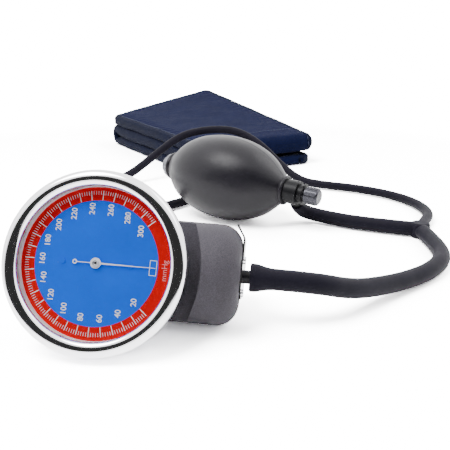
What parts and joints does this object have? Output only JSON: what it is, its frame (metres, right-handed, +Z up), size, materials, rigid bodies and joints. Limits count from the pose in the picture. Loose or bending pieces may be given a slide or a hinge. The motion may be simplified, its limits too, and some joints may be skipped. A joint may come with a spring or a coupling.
{
  "type": "aneroid sphygmomanometer",
  "caption": "Aneroid blood pressure set: dial gauge on a grip, squeeze bulb with release valve, folded arm cuff, joined by rubber hoses.",
  "frame": {"origin": "on the table, under the middle of the set without its hoses", "axes": "+Z up; +X to the right of the dial; +Y away from the dial, towards the cuff"},
  "size_m": [0.2539, 0.5156, 0.0617],
  "materials": {
    "chrome": "mirror chrome",
    "crystal_clear": "clear",
    "spacer_satin": "satin",
    "dial_print": "printed blue and red",
    "brass": "brushed",
    "steel": "satin",
    "capsule_bronze": "satin",
    "pointer_white": "satin white",
    "grip_grey": "fine spark texture",
    "hose_rubber": "smooth matt",
    "bulb_rubber": "soft matt",
    "valve_metal": "satin chrome",
    "valve_black": "moulded",
    "navy_fabric": "woven nylon",
    "patch_fabric": "hook and loop"
  },
  "bodies": {
    "base": {"air_manifold": "brass", "bezel_ring": "chrome", "bladder": "hose_rubber", "bulb_hose": "hose_rubber", "bulb_shell": "bulb_rubber", "capsule_lower": "capsule_bronze", "capsule_upper": "capsule_bronze", "case_cup": "spacer_satin", "clip_screws": "chrome", "crystal": "crystal_clear", "cuff_cover": "navy_fabric", "cuff_hose": "hose_rubber", "cuff_port": "hose_rubber", "dial_plate": "dial_print", "dial_screws": "steel", "dial_spacer": "spacer_satin", "end_cap": "grip_grey", "end_nipple": "valve_black", "gauge_hose": "hose_rubber", "gauge_stem": "brass", "grip_body": "grip_grey", "hairspring": "steel", "hook_patch": "patch_fabric", "hose_sleeve": "hose_rubber", "intake_filter": "steel", "intake_valve_body": "valve_metal", "loop_patch": "patch_fabric", "movement_base": "brass", "movement_pillars": "brass", "movement_top_plate": "brass", "plate_screws": "steel", "port_collar": "valve_black", "release_valve_body": "valve_black", "spring_clip": "chrome", "stem_nut": "brass", "stem_washer": "hose_rubber", "valve_washer": "valve_black", "y_piece": "hose_rubber"},
    "sector": {"sector_gear": "brass"},
    "pointer_shaft": {"pinion_arbor": "steel", "pointer": "pointer_white", "pointer_cap": "pointer_white"},
    "pusher": {"capsule_pusher": "steel"},
    "intake_ball": {"intake_ball": "steel"},
    "outlet_ball": {"outlet_ball": "steel"},
    "needle": {"valve_needle": "steel"},
    "knob": {"valve_knob": "valve_metal"}
  },
  "joints": [
    {"name": "sector_turn", "type": "hinge", "parent": "base", "child": "sector", "pos_m": [-0.02417, -0.24055, 0.01598], "axis": [-0.0751, -0.9142, 0.3982], "range_deg": [0, 40]},
    {"name": "pointer_turn", "type": "hinge", "parent": "base", "child": "pointer_shaft", "pos_m": [-0.02343, -0.24102, 0.03085], "axis": [-0.0751, -0.9142, 0.3982], "range_deg": [-320, 0]},
    {"name": "pusher_lift", "type": "slide", "parent": "base", "child": "pusher", "axis": [-0.0751, -0.9142, 0.3982], "range_m": [0, 0.0008]},
    {"name": "intake_ball_lift", "type": "slide", "parent": "base", "child": "intake_ball", "axis": [0.846, -0.5286, -0.0698], "range_m": [0, 0.0012]},
    {"name": "outlet_ball_lift", "type": "slide", "parent": "base", "child": "outlet_ball", "axis": [0.846, -0.5286, -0.0698], "range_m": [0, 0.0005]},
    {"name": "knob_turn", "type": "hinge", "parent": "needle", "child": "knob", "pos_m": [0.06767, -0.11323, 0.02187], "axis": [0.846, -0.5286, -0.0698], "range_deg": [0, 540]},
    {"name": "needle_travel", "type": "slide", "parent": "base", "child": "needle", "axis": [0.846, -0.5286, -0.0698], "range_m": [0, 0.0008]}
  ],
  "couplings": [
    {"joint": "sector_turn", "follows": "pusher_lift", "rad_per_m": 872.66},
    {"joint": "pointer_turn", "follows": "pusher_lift", "rad_per_m": -6981.3},
    {"joint": "knob_turn", "follows": "needle_travel", "rad_per_m": 11781}
  ]
}
